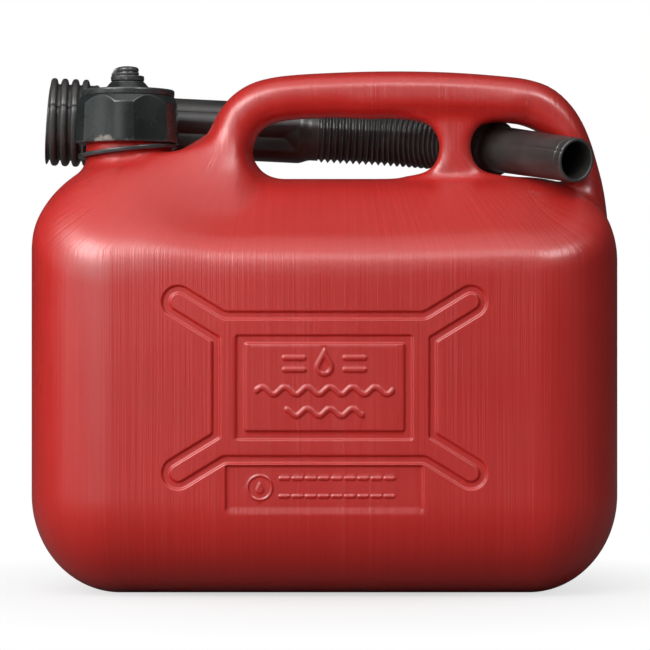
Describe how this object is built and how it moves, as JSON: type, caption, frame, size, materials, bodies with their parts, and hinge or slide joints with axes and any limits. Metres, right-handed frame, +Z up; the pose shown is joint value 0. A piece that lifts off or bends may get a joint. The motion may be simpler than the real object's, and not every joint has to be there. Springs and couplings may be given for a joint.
{
  "type": "jerry can",
  "caption": "Red moulded plastic fuel can with a built-in top handle, a tethered black screw cap and a flexible black pouring spout stowed behind the handle.",
  "frame": {"origin": "centre of the can's base, on the surface it stands on", "axes": "+X along the handle, away from the neck; +Y to the back, where the spout is stowed; +Z up"},
  "size_m": [0.2641, 0.13, 0.2394],
  "materials": {
    "can_red": "satin moulded HDPE with fine vertical die lines",
    "cap_black": "smooth black moulding, slightly glossy",
    "tether_black": "smooth flexible black moulding",
    "spout_black": "semi-gloss black blow moulding",
    "seal_rubber": "matt"
  },
  "bodies": {
    "can": {"can_body": "can_red", "cap_tether_ring": "tether_black"},
    "tether_eyelet": {"cap_tether_eyelet": "tether_black", "cap_tether_strap": "tether_black"},
    "cap": {"cap_shell": "cap_black", "cap_gasket": "seal_rubber"},
    "spout_base": {"spout_base": "spout_black", "spout_washer": "seal_rubber", "spout_bellows": "spout_black"},
    "spout_tip": {"spout_tip": "spout_black"}
  },
  "joints": [
    {"name": "cap_lift", "type": "slide", "parent": "can", "child": "tether_eyelet", "axis": [0, 0, 1], "range_m": [0, 0.01501], "deforming": ["cap_tether_strap"]},
    {"name": "cap_turn", "type": "hinge", "parent": "tether_eyelet", "child": "cap", "pos_m": [-0.0906, 0, 0.21764], "axis": [0, 0, 1], "range_deg": [0, 1080]},
    {"name": "spout_withdraw", "type": "slide", "parent": "can", "child": "spout_base", "axis": [-0.5597, 0.8169, 0.1394], "range_m": [0, 0.12]},
    {"name": "spout_flex", "type": "hinge", "parent": "spout_base", "child": "spout_tip", "pos_m": [0.05214, 0.03927, 0.20733], "axis": [-0.0508, 0.1341, -0.9897], "range_deg": [-0.5, 2.5], "deforming": ["spout_bellows"]}
  ],
  "couplings": [
    {"joint": "cap_lift", "follows": "cap_turn", "m_per_rad": 0.00079577}
  ]
}
